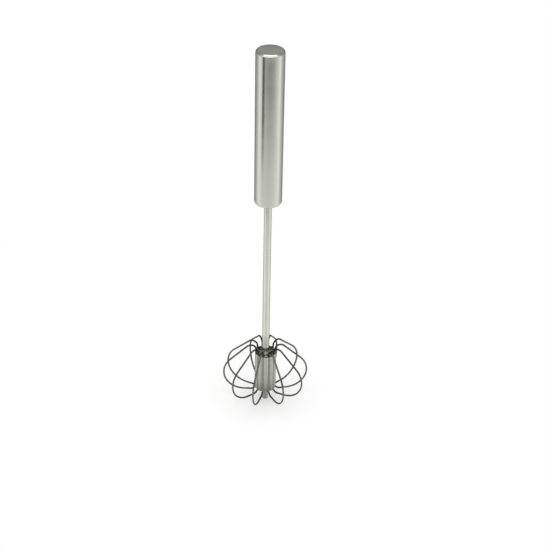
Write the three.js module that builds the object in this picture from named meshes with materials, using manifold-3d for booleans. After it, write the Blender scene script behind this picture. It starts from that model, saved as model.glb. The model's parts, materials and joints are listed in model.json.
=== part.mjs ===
// Rotary push whisk: a sprung push handle, a twisted drive strip, a turning shaft and a head of wire loops.
// Millimetres, +Z up along the spin axis. The origin is the centre of the pivot tip's end face.
import * as THREE from 'three';
import { mergeVertices } from 'three/addons/utils/BufferGeometryUtils.js';
import Module from 'manifold-3d';

// Lengths along the axis, from the tip up, with the handle at rest
const TIP_EXPOSED = 14.7;
const HUB_HEIGHT = 39.9;
const SHAFT_EXPOSED = 158;
const HANDLE_LENGTH = 137.4;

// Handle, one drawn cup with a rolled lower lip
const HANDLE_DIAMETER = 23.6;
const HANDLE_WALL = 0.7;
const HANDLE_TOP_EDGE = 2.7;
const HANDLE_LIP_RADIUS = 2.6;
const HANDLE_LIP_FLAT = 0.9;

// Shaft tube and the tip pressed into it
const SHAFT_DIAMETER = 6.6;
const SHAFT_WALL = 0.5;
const TIP_SHANK = 20;
const TIP_EDGE = 0.9;

// Hub: a fluted sheet sleeve on a core, one groove for each wire
const LOOP_COUNT = 10;
const HUB_DIAMETER = 20;
const LOBE_RADIUS = 2.64;
const SLEEVE_SHEET = 0.6;
const CORE_RECESS = 0.4;
const CORE_SLOT_WIDTH = 1.8; // slot behind each groove, which the fold of the sheet rests on
const CORE_SLOT_FLOOR = 1.3; // wall between a slot and the shaft
const GROOVE_GAP = 0.15;

// Wire loops, each a belt of straight runs and arcs
const WIRE_DIAMETER = 1.6;
const LEG_DEPTH = 1.15; // leg's centre line below the lobes' crest
const HEAD_DIAMETER = 78.4;
const BELLY_RADIUS = 20;
const BELLY_DROP = 2.9; // belly's lowest point below the hub
const TOP_BEND_RADIUS = 4.7;
const TOP_BEND_RISE = 2.8; // start of the top bend above the hub
const LOW_BEND_RADIUS = 4.6;
const LOW_BEND_RISE = 1.3; // start of the low bend above the hub's lower edge
const WIRE_JOINT_GAP = 0.6; // between the wire's two ends, inside the groove
// Each loop was set by hand and leans about its leg by a few degrees
const LOOP_LEAN = [2.9, 0.4, -1.3, 1.6, 11.8, -0.4, 1, -2, 5.8, 4.3];

// Drive inside the handle
const STRIP_THICKNESS = 1;
const STRIP_LEAD = 24; // travel for one turn, right-handed
const STRIP_BELOW_NUT = 6;
const NUT_HEAD_DIAMETER = 16;
const NUT_HEAD_HEIGHT = 7;
const NUT_SKIRT_HEIGHT = 8;
const NUT_SKIRT_WALL = 1.6;
const BUSH_HEIGHT = 14;
const WASHER_DIAMETER = 15;
const WASHER_THICKNESS = 0.8;
const COLLAR_FLANGE = 2.2;
const COLLAR_NOSE = 5;
const ANCHOR_HEIGHT = 13;
const ANCHOR_NOSE = 6;
const ANCHOR_ROOF = 3; // plug left above the strip's slot
const PIN_DIAMETER = 1.6;
const PIN_ABOVE_SEAT = 5;
const SPRING_DIAMETER = 16; // to the middle of the wire
const SPRING_WIRE = 1.1;
const SPRING_CURLS = 16;
const SPRING_END_GAP = 0.5; // between the turns of each closed end

// Clearances
const PRESS_GAP = 0.05; // pieces pressed together
const RUN_GAP = 0.12; // pieces that slide or turn
const SEAT_GAP = 0.1; // faces that bear on each other
const STRIP_GAP = 0.3; // strip in a slot
const BORE_GAP = 0.45; // strip in the shaft's bore
const PASSAGE_GAP = 0.8; // strip through the collar and washer
const NOSE_GAP = 0.3; // spring round the noses that centre it

// Facets
const HANDLE_SIDES = 40;
const SHAFT_SIDES = 24;
const PIN_SIDES = 12;
const WIRE_SIDES = 6;
const SPRING_SIDES = 5;
const SPRING_STEPS_PER_CURL = 8;
const STRIP_STEPS_PER_TURN = 64;
const BEND_STEPS = 6;
const BELLY_STEPS = 9;
const EDGE_STEPS = 4;
const LOBE_STEPS = 6;

// Heights worked out from the lengths above
const hubBottom = TIP_EXPOSED;
const hubTop = hubBottom + HUB_HEIGHT;
const handleBottom = hubTop + SHAFT_EXPOSED;
const handleTop = handleBottom + HANDLE_LENGTH;
const bushTop = handleBottom + BUSH_HEIGHT;
const nutBottom = bushTop + SEAT_GAP;
const nutShoulder = nutBottom + NUT_SKIRT_HEIGHT;
const nutTop = nutShoulder + NUT_HEAD_HEIGHT;
const washerBottom = nutTop + SEAT_GAP;
const collarBottom = washerBottom + WASHER_THICKNESS + SEAT_GAP;
const lowerSeat = collarBottom + COLLAR_FLANGE;
const anchorTop = handleTop - HANDLE_WALL - SEAT_GAP;
const upperSeat = anchorTop - ANCHOR_HEIGHT;
const anchorBottom = upperSeat - ANCHOR_NOSE;
const slotTop = anchorTop - ANCHOR_ROOF;
const stripBottom = nutShoulder - STRIP_BELOW_NUT;
const stripTop = slotTop - STRIP_GAP;
const pinHeight = upperSeat + PIN_ABOVE_SEAT;

// Radii worked out from the diameters and clearances above
const handleRadius = HANDLE_DIAMETER / 2;
const handleBore = handleRadius - HANDLE_WALL;
const mouthRadius = handleRadius - HANDLE_LIP_RADIUS - HANDLE_LIP_FLAT;
const shaftRadius = SHAFT_DIAMETER / 2;
const shaftBore = shaftRadius - SHAFT_WALL;
const tipRadius = shaftBore - PRESS_GAP;
const wireRadius = WIRE_DIAMETER / 2;
const hubRadius = HUB_DIAMETER / 2;
const legRadius = hubRadius - LEG_DEPTH;
const grooveRadius = wireRadius + GROOVE_GAP;
const foldRadius = grooveRadius + SLEEVE_SHEET;
const coreBore = shaftRadius + PRESS_GAP;
const slotRadius = CORE_SLOT_WIDTH / 2;
const slotMouth = legRadius - Math.sqrt((foldRadius + PRESS_GAP) ** 2 - slotRadius ** 2);
const stripReach = shaftBore - BORE_GAP;
const stripWidth = 2 * Math.sqrt(stripReach ** 2 - (STRIP_THICKNESS / 2) ** 2);
const passageRadius = stripReach + PASSAGE_GAP;
const springFlat = (SPRING_DIAMETER / 2) * Math.cos(Math.PI / SPRING_STEPS_PER_CURL);
const noseRadius = springFlat - SPRING_WIRE / 2 - NOSE_GAP;
const anchorRadius = handleBore - PRESS_GAP;

const QUARTER = Math.PI / 2;
const STEEL = { color: 0xa9aaa2, roughness: 0.35, metalness: 1 };
const POLISHED_STEEL = { color: 0xc4c4ba, roughness: 0.18, metalness: 1 };
const WIRE_STEEL = { color: 0x85867f, roughness: 0.3, metalness: 1 };
const SPRING_STEEL = { color: 0x6f7072, roughness: 0.4, metalness: 1 };
const NYLON = { color: 0xd9d8d0, roughness: 0.55, metalness: 0 };

const wasm = await Module();
wasm.setup();

// A closed geometry as a solid for joining and cutting.
function toSolid(geometry) {
  const bare = geometry.clone();
  bare.deleteAttribute('normal');
  bare.deleteAttribute('uv');
  const merged = mergeVertices(bare);
  const corners = merged.index.array;
  const triVerts = [];
  for (let i = 0; i < corners.length; i += 3) {
    const triangle = corners.slice(i, i + 3);
    if (new Set(triangle).size === 3) triVerts.push(...triangle);
  }
  return new wasm.Manifold(new wasm.Mesh({
    numProp: 3,
    vertProperties: Float32Array.from(merged.attributes.position.array),
    triVerts: Uint32Array.from(triVerts),
  }));
}

// What is left of a geometry once others are cut away from it.
function cut(geometry, ...tools) {
  let solid = toSolid(geometry);
  for (const tool of tools) solid = solid.subtract(toSolid(tool));
  const mesh = solid.getMesh();
  const result = new THREE.BufferGeometry();
  result.setAttribute('position', new THREE.BufferAttribute(mesh.vertProperties, 3));
  result.setIndex(new THREE.BufferAttribute(mesh.triVerts, 1));
  result.computeVertexNormals();
  return result;
}

// Points on an arc from one angle to another, both ends included.
function arc(x, y, radius, from, to, steps) {
  return Array.from({ length: steps + 1 }, (_, i) => {
    const angle = from + ((to - from) * i) / steps;
    return new THREE.Vector2(x + radius * Math.cos(angle), y + radius * Math.sin(angle));
  });
}

// A profile of [radius, height] pairs and arc points, turned about the axis with its outside going up.
function turned(profile, sides) {
  const points = profile.map((p) => (Array.isArray(p) ? new THREE.Vector2(...p) : p));
  return new THREE.LatheGeometry(points, sides).rotateX(QUARTER);
}

// A turned ring: the profile is closed on itself.
function turnedRing(profile, sides) {
  return turned([...profile, profile[0]], sides);
}

// A path given at its stations by a point, a tangent and the direction of the section's first axis.
class StationPath extends THREE.Curve {
  constructor(stations) {
    super();
    this.stations = stations;
  }

  getSpacedPoints() {
    return this.stations.map((station) => station.point);
  }

  computeFrenetFrames() {
    const tangents = this.stations.map((station) => station.tangent);
    const normals = this.stations.map((station) => station.side);
    const binormals = tangents.map((tangent, i) => tangent.clone().cross(normals[i]));
    return { tangents, normals, binormals };
  }
}

function sweep(section, stations) {
  return new THREE.ExtrudeGeometry(section, {
    steps: stations.length - 1,
    extrudePath: new StationPath(stations),
  });
}

function roundSection(radius, sides) {
  return new THREE.Shape(arc(0, 0, radius, 0, (2 * Math.PI * (sides - 1)) / sides, sides - 1));
}

function flatSection(width, thickness) {
  const x = width / 2;
  const y = thickness / 2;
  return new THREE.Shape([[-x, -y], [x, -y], [x, y], [-x, y]].map((p) => new THREE.Vector2(...p)));
}

function handleShell() {
  const topCentre = handleTop - HANDLE_TOP_EDGE;
  const lipCentre = handleBottom + HANDLE_LIP_RADIUS;
  const edge = handleRadius - HANDLE_TOP_EDGE;
  const roll = handleRadius - HANDLE_LIP_RADIUS;
  const innerEdge = Math.max(HANDLE_TOP_EDGE - HANDLE_WALL, PRESS_GAP);
  return turned([
    [0, handleTop - HANDLE_WALL],
    ...arc(handleBore - innerEdge, handleTop - HANDLE_WALL - innerEdge, innerEdge, QUARTER, 0, EDGE_STEPS),
    ...arc(roll, lipCentre, HANDLE_LIP_RADIUS - HANDLE_WALL, 0, -QUARTER, EDGE_STEPS),
    [mouthRadius, handleBottom + HANDLE_WALL],
    [mouthRadius, handleBottom],
    ...arc(roll, lipCentre, HANDLE_LIP_RADIUS, -QUARTER, 0, EDGE_STEPS),
    ...arc(edge, topCentre, HANDLE_TOP_EDGE, 0, QUARTER, EDGE_STEPS),
    [0, handleTop],
  ], HANDLE_SIDES);
}

// Bush in the mouth: a shoulder on the lip, and a neck that fills the lip's opening.
function guideBush() {
  const bore = shaftRadius + RUN_GAP;
  const shoulder = handleBottom + HANDLE_WALL + SEAT_GAP;
  return turnedRing([
    [bore, handleBottom],
    [mouthRadius - PRESS_GAP, handleBottom],
    [mouthRadius - PRESS_GAP, shoulder],
    [handleRadius - HANDLE_LIP_RADIUS, shoulder],
    [anchorRadius, handleBottom + HANDLE_LIP_RADIUS + SEAT_GAP],
    [anchorRadius, bushTop],
    [bore, bushTop],
  ], HANDLE_SIDES);
}

// Stations of the strip between two heights: straight inside the plug, twisted below it.
function stripStations(from, to) {
  const step = STRIP_LEAD / STRIP_STEPS_PER_TURN;
  const twistTop = anchorBottom - STRIP_GAP;
  const heights = [from];
  for (let z = from + step; z < Math.min(to, twistTop) - step / 2; z += step) heights.push(z);
  if (to > twistTop) heights.push(twistTop);
  heights.push(to);
  return heights.map((z) => {
    const angle = (2 * Math.PI * Math.min(z - twistTop, 0)) / STRIP_LEAD;
    return {
      point: new THREE.Vector3(0, 0, z),
      tangent: new THREE.Vector3(0, 0, 1),
      side: new THREE.Vector3(Math.cos(angle), Math.sin(angle), 0),
    };
  });
}

function pinRod(radius, length) {
  return new THREE.CylinderGeometry(radius, radius, length, PIN_SIDES).translate(0, 0, pinHeight);
}

function pinHole() {
  return pinRod(PIN_DIAMETER / 2 + SEAT_GAP, HANDLE_DIAMETER);
}

function driveStrip() {
  const section = flatSection(stripWidth, STRIP_THICKNESS);
  return cut(sweep(section, stripStations(stripBottom, stripTop)), pinHole());
}

function stripAnchor() {
  const plug = turned([
    [0, anchorBottom],
    [noseRadius, anchorBottom],
    [noseRadius, upperSeat],
    [anchorRadius, upperSeat],
    [anchorRadius, anchorTop - HANDLE_TOP_EDGE],
    [anchorRadius - HANDLE_TOP_EDGE, anchorTop],
    [0, anchorTop],
  ], HANDLE_SIDES);
  const slotBottom = anchorBottom - STRIP_GAP;
  const slot = new THREE.BoxGeometry(
    stripWidth + 2 * STRIP_GAP,
    STRIP_THICKNESS + 2 * STRIP_GAP,
    slotTop - slotBottom,
  ).translate(0, 0, (slotTop + slotBottom) / 2);
  return cut(plug, slot, pinHole());
}

// Nut: a socket for the shaft's end below, and the strip's twisted slot through its head.
function driveNut() {
  const socket = shaftRadius + PRESS_GAP;
  const skirt = shaftRadius + NUT_SKIRT_WALL;
  const body = turned([
    [0, nutShoulder],
    [socket, nutShoulder],
    [socket, nutBottom],
    [skirt, nutBottom],
    [skirt, nutShoulder],
    [NUT_HEAD_DIAMETER / 2, nutShoulder],
    [NUT_HEAD_DIAMETER / 2, nutTop],
    [0, nutTop],
  ], SHAFT_SIDES);
  const slotSection = flatSection(stripWidth + 2 * STRIP_GAP, STRIP_THICKNESS + 2 * STRIP_GAP);
  return cut(body, sweep(slotSection, stripStations(stripBottom, nutTop + STRIP_BELOW_NUT)));
}

function thrustWasher() {
  return turnedRing([
    [passageRadius, washerBottom],
    [WASHER_DIAMETER / 2, washerBottom],
    [WASHER_DIAMETER / 2, washerBottom + WASHER_THICKNESS],
    [passageRadius, washerBottom + WASHER_THICKNESS],
  ], SHAFT_SIDES);
}

function springCollar() {
  const flange = handleBore - RUN_GAP;
  return turnedRing([
    [passageRadius, collarBottom],
    [flange, collarBottom],
    [flange, lowerSeat],
    [noseRadius, lowerSeat],
    [noseRadius, lowerSeat + COLLAR_NOSE],
    [passageRadius, lowerSeat + COLLAR_NOSE],
  ], HANDLE_SIDES);
}

// Compression spring with one closed turn at each end.
function springStations() {
  const radius = SPRING_DIAMETER / 2;
  const low = lowerSeat + SEAT_GAP + SPRING_WIRE / 2;
  const high = upperSeat - SEAT_GAP - SPRING_WIRE / 2;
  const closedPitch = SPRING_WIRE + SPRING_END_GAP;
  const openPitch = (high - low - 2 * closedPitch) / (SPRING_CURLS - 2);
  const rise = (turn) => {
    const open = THREE.MathUtils.clamp(turn - 1, 0, SPRING_CURLS - 2);
    return open * openPitch + (turn - open) * closedPitch;
  };
  const count = SPRING_CURLS * SPRING_STEPS_PER_CURL;
  return Array.from({ length: count + 1 }, (_, i) => {
    const turn = i / SPRING_STEPS_PER_CURL;
    const angle = 2 * Math.PI * turn;
    const side = new THREE.Vector3(Math.cos(angle), Math.sin(angle), 0);
    const above = rise(Math.min(turn + 0.5, SPRING_CURLS));
    const below = rise(Math.max(turn - 0.5, 0));
    const climb = (above - below) / (2 * Math.PI);
    const tangent = new THREE.Vector3(-radius * side.y, radius * side.x, climb).normalize();
    return { point: side.clone().multiplyScalar(radius).setZ(low + rise(turn)), tangent, side };
  });
}

// Least distance between the surfaces of turns that lie beside each other.
function leastGap(stations, stepsPerTurn, wire) {
  let least = Infinity;
  for (let i = 0; i < stations.length; i += 1) {
    for (let j = i + Math.ceil(stepsPerTurn / 2); j < stations.length; j += 1) {
      least = Math.min(least, stations[i].point.distanceTo(stations[j].point) - wire);
    }
  }
  return least;
}

function returnSpring() {
  const stations = springStations();
  const gap = leastGap(stations, SPRING_STEPS_PER_CURL, SPRING_WIRE);
  console.log(`return_spring: least gap to itself ${gap.toFixed(2)} mm`);
  return sweep(roundSection(SPRING_WIRE / 2, SPRING_SIDES), stations);
}

function shaftTube() {
  const top = nutShoulder - SEAT_GAP;
  return turnedRing([
    [shaftBore, hubBottom],
    [shaftRadius, hubBottom],
    [shaftRadius, top],
    [shaftBore, top],
  ], SHAFT_SIDES);
}

function pivotTip() {
  return turned([
    [0, 0],
    ...arc(tipRadius - TIP_EDGE, TIP_EDGE, TIP_EDGE, -QUARTER, 0, EDGE_STEPS),
    [tipRadius, hubBottom + TIP_SHANK],
    [0, hubBottom + TIP_SHANK],
  ], SHAFT_SIDES);
}

// One groove's share of an outline, repeated round the hub.
function roundHub(points) {
  const axis = new THREE.Vector2();
  const turns = Array.from({ length: LOOP_COUNT }, (_, i) => (2 * Math.PI * i) / LOOP_COUNT);
  return turns.flatMap((turn) => points.map((p) => p.clone().rotateAround(axis, turn)));
}

// Core: round teeth under the lobes, and between them round-bottomed slots whose mouths carry the folds.
function hubCore() {
  const pitch = (2 * Math.PI) / LOOP_COUNT;
  const mouth = Math.atan2(slotRadius, slotMouth);
  const slotCentre = coreBore + CORE_SLOT_FLOOR + slotRadius;
  const slot = arc(slotCentre, 0, slotRadius, 3 * QUARTER, QUARTER, LOBE_STEPS);
  const tooth = arc(0, 0, Math.hypot(slotMouth, slotRadius), mouth, pitch - mouth, LOBE_STEPS);
  const section = new THREE.Shape(roundHub([...slot, ...tooth]));
  section.holes.push(roundSection(coreBore, SHAFT_SIDES));
  const settings = { depth: HUB_HEIGHT - CORE_RECESS, bevelEnabled: false };
  return new THREE.ExtrudeGeometry(section, settings).translate(0, 0, hubBottom);
}

// Closed outline of the sleeve's sheet: a groove arc and a lobe arc in turn, joined where the circles meet.
function fluteOutline(groove, lobe) {
  const pitch = (2 * Math.PI) / LOOP_COUNT;
  const grooveCentre = new THREE.Vector2(legRadius, 0);
  const lobeOut = hubRadius - LOBE_RADIUS;
  const lobeCentre = new THREE.Vector2(lobeOut * Math.cos(pitch / 2), lobeOut * Math.sin(pitch / 2));
  const across = lobeCentre.clone().sub(grooveCentre);
  const apart = across.length();
  const opening = Math.acos((groove ** 2 + apart ** 2 - lobe ** 2) / (2 * groove * apart));
  const bulge = Math.acos((lobe ** 2 + apart ** 2 - groove ** 2) / (2 * lobe * apart));
  const grooveEnd = across.angle() - opening;
  const lobeEnd = across.angle() - Math.PI + bulge;
  const grooveArc = arc(legRadius, 0, groove, 2 * Math.PI - grooveEnd, grooveEnd, LOBE_STEPS);
  const lobeArc = arc(lobeCentre.x, lobeCentre.y, lobe, lobeEnd, pitch - lobeEnd, LOBE_STEPS);
  return roundHub([...grooveArc, ...lobeArc.slice(1, -1)]);
}

function hubSleeve() {
  const sheet = new THREE.Shape(fluteOutline(grooveRadius, LOBE_RADIUS));
  sheet.holes.push(new THREE.Path(fluteOutline(foldRadius, LOBE_RADIUS - SLEEVE_SHEET)));
  const settings = { depth: HUB_HEIGHT, bevelEnabled: false };
  return new THREE.ExtrudeGeometry(sheet, settings).translate(0, 0, hubBottom);
}

// Heading of the line that runs from one circle to the next, with both on its right.
function lineHeading(a, b) {
  const apart = Math.hypot(b.x - a.x, b.z - a.z);
  return Math.atan2(b.z - a.z, b.x - a.x) - Math.asin((a.radius - b.radius) / apart);
}

function wireStation(x, z, heading) {
  return {
    point: new THREE.Vector3(x, 0, z),
    tangent: new THREE.Vector3(Math.cos(heading), 0, Math.sin(heading)),
    side: new THREE.Vector3(-Math.sin(heading), 0, Math.cos(heading)),
  };
}

// One loop in its own plane, x out from the leg: up the leg, round three circles and up the leg again.
function loopStations() {
  const belly = {
    x: HEAD_DIAMETER / 2 - wireRadius - BELLY_RADIUS - legRadius,
    z: hubBottom - BELLY_DROP + BELLY_RADIUS,
    radius: BELLY_RADIUS,
    steps: BELLY_STEPS,
  };
  const topBend = {
    x: TOP_BEND_RADIUS,
    z: hubTop + TOP_BEND_RISE,
    radius: TOP_BEND_RADIUS,
    steps: BEND_STEPS,
  };
  const lowBend = {
    x: LOW_BEND_RADIUS,
    z: hubBottom + LOW_BEND_RISE,
    radius: LOW_BEND_RADIUS,
    steps: BEND_STEPS,
  };
  const circles = [topBend, belly, lowBend];
  const headings = [QUARTER, lineHeading(topBend, belly), lineHeading(belly, lowBend), QUARTER - 2 * Math.PI];
  const joint = (hubBottom + hubTop) / 2;
  const stations = [wireStation(0, joint + WIRE_JOINT_GAP / 2, QUARTER)];
  circles.forEach((circle, i) => {
    for (let k = 0; k <= circle.steps; k += 1) {
      const heading = THREE.MathUtils.lerp(headings[i], headings[i + 1], k / circle.steps);
      const x = circle.x - circle.radius * Math.sin(heading);
      const z = circle.z + circle.radius * Math.cos(heading);
      stations.push(wireStation(x, z, heading));
    }
  });
  stations.push(wireStation(0, joint - WIRE_JOINT_GAP / 2, QUARTER));
  return stations;
}

const whisk = new THREE.Group();

function addPiece(name, geometry, finish, parent = whisk) {
  const mesh = new THREE.Mesh(geometry, new THREE.MeshStandardMaterial(finish));
  mesh.name = name;
  parent.add(mesh);
  return mesh;
}

function addWires() {
  const wire = sweep(roundSection(wireRadius, WIRE_SIDES), loopStations());
  for (let i = 0; i < LOOP_COUNT; i += 1) {
    const groove = new THREE.Group();
    groove.rotation.z = (2 * Math.PI * i) / LOOP_COUNT;
    whisk.add(groove);
    const mesh = addPiece(`whisk_wire_${String(i + 1).padStart(2, '0')}`, wire, WIRE_STEEL, groove);
    mesh.position.x = legRadius;
    mesh.rotation.z = THREE.MathUtils.degToRad(LOOP_LEAN[i % LOOP_LEAN.length]);
  }
}

addPiece('handle_shell', handleShell(), STEEL);
addPiece('guide_bush', guideBush(), NYLON);
addPiece('strip_anchor', stripAnchor(), NYLON);
addPiece('anchor_pin', pinRod(PIN_DIAMETER / 2, 2 * (anchorRadius - STRIP_GAP)), SPRING_STEEL);
addPiece('drive_strip', driveStrip(), SPRING_STEEL);
addPiece('return_spring', returnSpring(), SPRING_STEEL);
addPiece('spring_collar', springCollar(), NYLON);
addPiece('thrust_washer', thrustWasher(), STEEL);
addPiece('drive_nut', driveNut(), NYLON);
addPiece('shaft_tube', shaftTube(), POLISHED_STEEL);
addPiece('hub_core', hubCore(), STEEL);
addPiece('hub_sleeve', hubSleeve(), STEEL);
addWires();
addPiece('pivot_tip', pivotTip(), POLISHED_STEEL);

export default whisk;
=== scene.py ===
"""Looks of a rotary push whisk: smooth steel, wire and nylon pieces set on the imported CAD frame.

Sizes are in millimetres and are the same as in the CAD source; MM turns them into Blender's metres.
"""
import cmath
import json
import math

import bmesh
import bpy
from mathutils import Matrix, Vector


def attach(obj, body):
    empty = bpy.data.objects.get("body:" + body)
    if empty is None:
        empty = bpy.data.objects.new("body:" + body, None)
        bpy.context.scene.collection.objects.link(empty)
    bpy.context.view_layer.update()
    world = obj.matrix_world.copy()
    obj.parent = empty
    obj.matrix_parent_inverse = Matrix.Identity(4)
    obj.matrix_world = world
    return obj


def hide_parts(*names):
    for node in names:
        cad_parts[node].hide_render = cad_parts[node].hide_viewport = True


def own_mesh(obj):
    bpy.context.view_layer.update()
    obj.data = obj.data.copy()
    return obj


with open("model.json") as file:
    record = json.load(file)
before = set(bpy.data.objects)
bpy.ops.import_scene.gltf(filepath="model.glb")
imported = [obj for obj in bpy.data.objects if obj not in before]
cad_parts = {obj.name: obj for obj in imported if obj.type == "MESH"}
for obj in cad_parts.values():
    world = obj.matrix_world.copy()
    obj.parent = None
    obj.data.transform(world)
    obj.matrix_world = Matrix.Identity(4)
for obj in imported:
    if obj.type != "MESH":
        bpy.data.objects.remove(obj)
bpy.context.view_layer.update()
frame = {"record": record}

MM = 0.001
RIGHT, BACK, UP = Vector((1, 0, 0)), Vector((0, 1, 0)), Vector((0, 0, 1))
SHARP_ANGLE = math.radians(38)
ON_AXIS = 1e-9

# Lengths along the axis, from the tip up, with the handle at rest
TIP_EXPOSED, HUB_HEIGHT, SHAFT_EXPOSED, HANDLE_LENGTH = 14.7, 39.9, 158.0, 137.4

# Handle, a drawn cup with a rolled lip
HANDLE_RADIUS, HANDLE_WALL = 11.8, 0.7
RIM_RADIUS, LIP_RADIUS, LIP_FLAT = 2.7, 2.6, 0.9
SHEET_EDGE = 0.3

# Shaft, and the tip pressed into it
SHAFT_RADIUS, SHAFT_WALL = 3.3, 0.5
TIP_SHANK, TIP_EDGE = 20.0, 0.9

# Hub: a fluted sheet sleeve on a slotted core, one groove for each wire
LOOP_COUNT = 10
HUB_RADIUS, LOBE_RADIUS, SLEEVE_SHEET = 10.0, 2.64, 0.6
CORE_RECESS, SLOT_RADIUS, SLOT_FLOOR = 0.4, 0.9, 1.3
LEG_DEPTH, GROOVE_GAP = 1.15, 0.15

# Wire loops, each three arcs joined by straight runs, with its ends butted in the groove
WIRE_RADIUS, HEAD_RADIUS = 0.8, 39.2
TOP_BEND_RADIUS, BELLY_RADIUS, LOW_BEND_RADIUS = 4.7, 20.0, 4.6
TOP_BEND_RISE, BELLY_DROP, LOW_BEND_RISE = 2.8, 2.9, 1.3
WIRE_WELD = 0.04
LOOP_LEAN = (2.9, 0.4, -1.3, 1.6, 11.8, -0.4, 1.0, -2.0, 5.8, 4.3)

# Drive inside the handle
STRIP_THICKNESS, STRIP_LEAD, STRIP_BELOW_NUT = 1.0, 24.0, 6.0
NUT_HEAD_RADIUS, NUT_HEAD_HEIGHT, NUT_SKIRT_HEIGHT, NUT_SKIRT_WALL = 8.0, 7.0, 8.0, 1.6
BUSH_HEIGHT = 14.0
WASHER_RADIUS, WASHER_THICKNESS = 7.5, 0.8
COLLAR_FLANGE, COLLAR_NOSE = 2.2, 5.0
ANCHOR_HEIGHT, ANCHOR_NOSE, ANCHOR_ROOF = 13.0, 6.0, 3.0
NOSE_RADIUS = 6.54
PIN_RADIUS, PIN_ABOVE_SEAT, PIN_INSET = 0.8, 5.0, 0.3
SPRING_RADIUS, SPRING_WIRE, SPRING_CURLS = 8.0, 1.1, 16
SPRING_END_PITCH = 1.6

# Clearances between pieces that are pressed together, run, bear or pass
PRESS_GAP, RUN_GAP, SEAT_GAP = 0.05, 0.12, 0.1
STRIP_GAP, BORE_GAP, PASSAGE_GAP, PIN_GAP = 0.3, 0.45, 0.8, 0.1

# How far the cutting tools run past what they cut
CUT_PAST, NUT_CUT_PAST = 1.0, 3.0

# Edge radii: cut tube, washer, strip, pin and bush, then fine to round edges of the other pieces
TUBE_EDGE, TUBE_BORE_EDGE, WASHER_EDGE, WASHER_BORE_EDGE = 0.2, 0.15, 0.2, 0.1
STRIP_EDGE, PIN_EDGE = 0.2, 0.25
BUSH_LEAD, BUSH_NECK_EDGE, BUSH_STEP_EDGE = 0.6, 0.25, 0.1
FINE_EDGE, PLAIN_EDGE, SOFT_EDGE, NOSE_EDGE = 0.3, 0.4, 0.5, 0.8

# Heights worked out from the lengths above
HUB_BOTTOM = TIP_EXPOSED
HUB_TOP = HUB_BOTTOM + HUB_HEIGHT
CORE_TOP = HUB_TOP - CORE_RECESS
TIP_TOP = HUB_BOTTOM + TIP_SHANK
HUB_MIDDLE = (HUB_BOTTOM + HUB_TOP) / 2
HANDLE_BOTTOM = HUB_TOP + SHAFT_EXPOSED
HANDLE_TOP = HANDLE_BOTTOM + HANDLE_LENGTH
BUSH_TOP = HANDLE_BOTTOM + BUSH_HEIGHT
NUT_BOTTOM = BUSH_TOP + SEAT_GAP
NUT_SHOULDER = NUT_BOTTOM + NUT_SKIRT_HEIGHT
NUT_TOP = NUT_SHOULDER + NUT_HEAD_HEIGHT
WASHER_BOTTOM = NUT_TOP + SEAT_GAP
WASHER_TOP = WASHER_BOTTOM + WASHER_THICKNESS
COLLAR_BOTTOM = WASHER_TOP + SEAT_GAP
LOWER_SEAT = COLLAR_BOTTOM + COLLAR_FLANGE
COLLAR_TOP = LOWER_SEAT + COLLAR_NOSE
ANCHOR_TOP = HANDLE_TOP - HANDLE_WALL - SEAT_GAP
UPPER_SEAT = ANCHOR_TOP - ANCHOR_HEIGHT
ANCHOR_BOTTOM = UPPER_SEAT - ANCHOR_NOSE
SLOT_TOP = ANCHOR_TOP - ANCHOR_ROOF
STRIP_BOTTOM = NUT_SHOULDER - STRIP_BELOW_NUT
STRIP_TOP = SLOT_TOP - STRIP_GAP
TWIST_TOP = ANCHOR_BOTTOM - STRIP_GAP
PIN_HEIGHT = UPPER_SEAT + PIN_ABOVE_SEAT

# Radii worked out from the sizes and clearances above
HANDLE_BORE = HANDLE_RADIUS - HANDLE_WALL
MOUTH_RADIUS = HANDLE_RADIUS - LIP_RADIUS - LIP_FLAT
PLUG_RADIUS = HANDLE_BORE - PRESS_GAP
PIN_LENGTH = 2 * (PLUG_RADIUS - PIN_INSET)
SHAFT_BORE = SHAFT_RADIUS - SHAFT_WALL
TIP_RADIUS = SHAFT_BORE - PRESS_GAP
STRIP_REACH = SHAFT_BORE - BORE_GAP
STRIP_WIDTH = 2 * math.sqrt(STRIP_REACH ** 2 - (STRIP_THICKNESS / 2) ** 2)
PASSAGE_RADIUS = STRIP_REACH + PASSAGE_GAP
LEG_RADIUS = HUB_RADIUS - LEG_DEPTH
GROOVE_RADIUS = WIRE_RADIUS + GROOVE_GAP
FOLD_RADIUS = GROOVE_RADIUS + SLEEVE_SHEET
LOBE_CENTRE = HUB_RADIUS - LOBE_RADIUS
CORE_BORE = SHAFT_RADIUS + PRESS_GAP
SLOT_CENTRE = CORE_BORE + SLOT_FLOOR + SLOT_RADIUS
SLOT_MOUTH = LEG_RADIUS - math.sqrt((FOLD_RADIUS + PRESS_GAP) ** 2 - SLOT_RADIUS ** 2)
CORE_RADIUS = math.hypot(SLOT_MOUTH, SLOT_RADIUS)

# The loops' arcs, as (out from the leg, height, radius)
TOP_BEND = (TOP_BEND_RADIUS, HUB_TOP + TOP_BEND_RISE, TOP_BEND_RADIUS)
BELLY_OUT = HEAD_RADIUS - WIRE_RADIUS - BELLY_RADIUS - LEG_RADIUS
BELLY = (BELLY_OUT, HUB_BOTTOM - BELLY_DROP + BELLY_RADIUS, BELLY_RADIUS)
LOW_BEND = (LOW_BEND_RADIUS, HUB_BOTTOM + LOW_BEND_RISE, LOW_BEND_RADIUS)


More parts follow.
